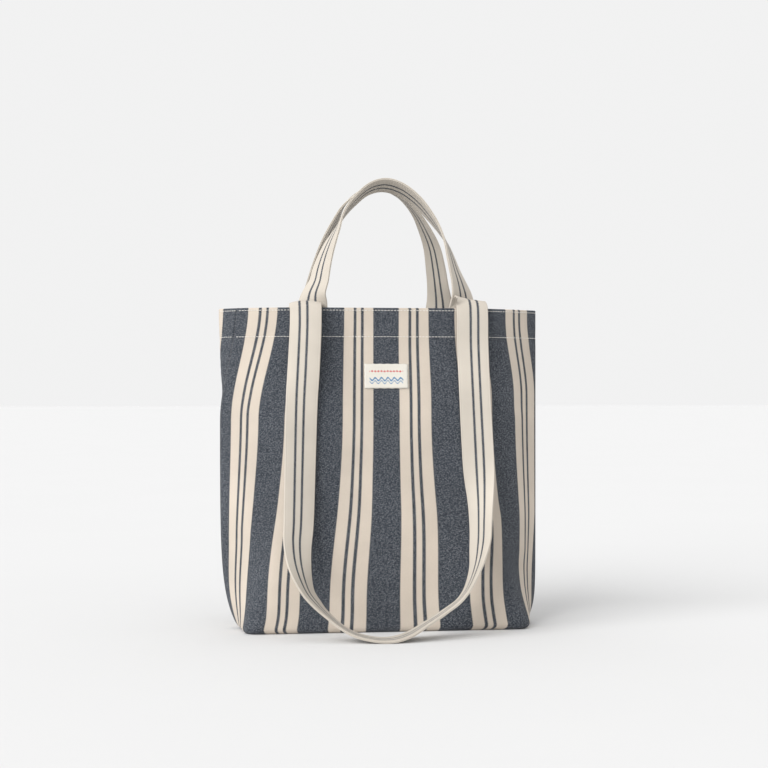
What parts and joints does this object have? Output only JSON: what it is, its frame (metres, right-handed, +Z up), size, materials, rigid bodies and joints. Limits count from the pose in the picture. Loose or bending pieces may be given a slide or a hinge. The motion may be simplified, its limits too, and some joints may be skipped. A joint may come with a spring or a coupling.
{
  "type": "canvas tote bag",
  "caption": "Upright striped canvas tote bag with a boxed base, short hand handles and long shoulder straps that fold over the top edge.",
  "frame": {"origin": "on the floor under the middle of the bag, at the middle of the bounding box's bottom", "axes": "+Z up, -Y towards the front with the woven label, +X to the right when looking at the front"},
  "size_m": [0.3748, 0.2842, 0.5212],
  "materials": {
    "striped_canvas": "matt woven cotton canvas, navy and cream stripes",
    "band_canvas": "matt woven cotton, cream with two thin navy lines",
    "cotton_tape": "matt herringbone cotton tape",
    "cotton_thread": "twisted cotton thread",
    "label_weave": "fine damask label weave"
  },
  "bodies": {
    "bag": {"front_panel": "striped_canvas", "back_panel": "striped_canvas", "front_handle_end_left": "band_canvas", "front_handle_end_right": "band_canvas", "front_strap_end_left": "band_canvas", "front_strap_end_right": "band_canvas", "back_handle_end_left": "band_canvas", "back_handle_end_right": "band_canvas", "back_strap_end_left": "band_canvas", "back_strap_end_right": "band_canvas", "side_binding_left": "cotton_tape", "side_binding_right": "cotton_tape", "corner_binding_left": "cotton_tape", "corner_binding_right": "cotton_tape", "base_binding": "cotton_tape", "woven_label": "label_weave", "label_stitching_left": "cotton_thread", "label_stitching_right": "cotton_thread", "edge_stitching": "cotton_thread", "hem_stitching": "cotton_thread"},
    "front_handle": {"front_short_handle": "band_canvas"},
    "back_handle": {"back_short_handle": "band_canvas"},
    "front_strap": {"front_long_strap": "band_canvas"},
    "back_strap": {"back_long_strap": "band_canvas"}
  },
  "joints": [
    {"name": "front_handle_swing", "type": "hinge", "parent": "bag", "child": "front_handle", "pos_m": [0, -0.0449, 0.386], "axis": [1, 0, 0], "range_deg": [0, 28]},
    {"name": "back_handle_swing", "type": "hinge", "parent": "bag", "child": "back_handle", "pos_m": [0, 0.0449, 0.386], "axis": [-1, 0, 0], "range_deg": [0, 28]},
    {"name": "front_strap_swing", "type": "hinge", "parent": "bag", "child": "front_strap", "pos_m": [0, -0.05115, 0.37495], "axis": [-1, 0, 0], "range_deg": [0, 160]},
    {"name": "back_strap_swing", "type": "hinge", "parent": "bag", "child": "back_strap", "pos_m": [0, 0.05115, 0.37495], "axis": [1, 0, 0], "range_deg": [0, 160]}
  ]
}
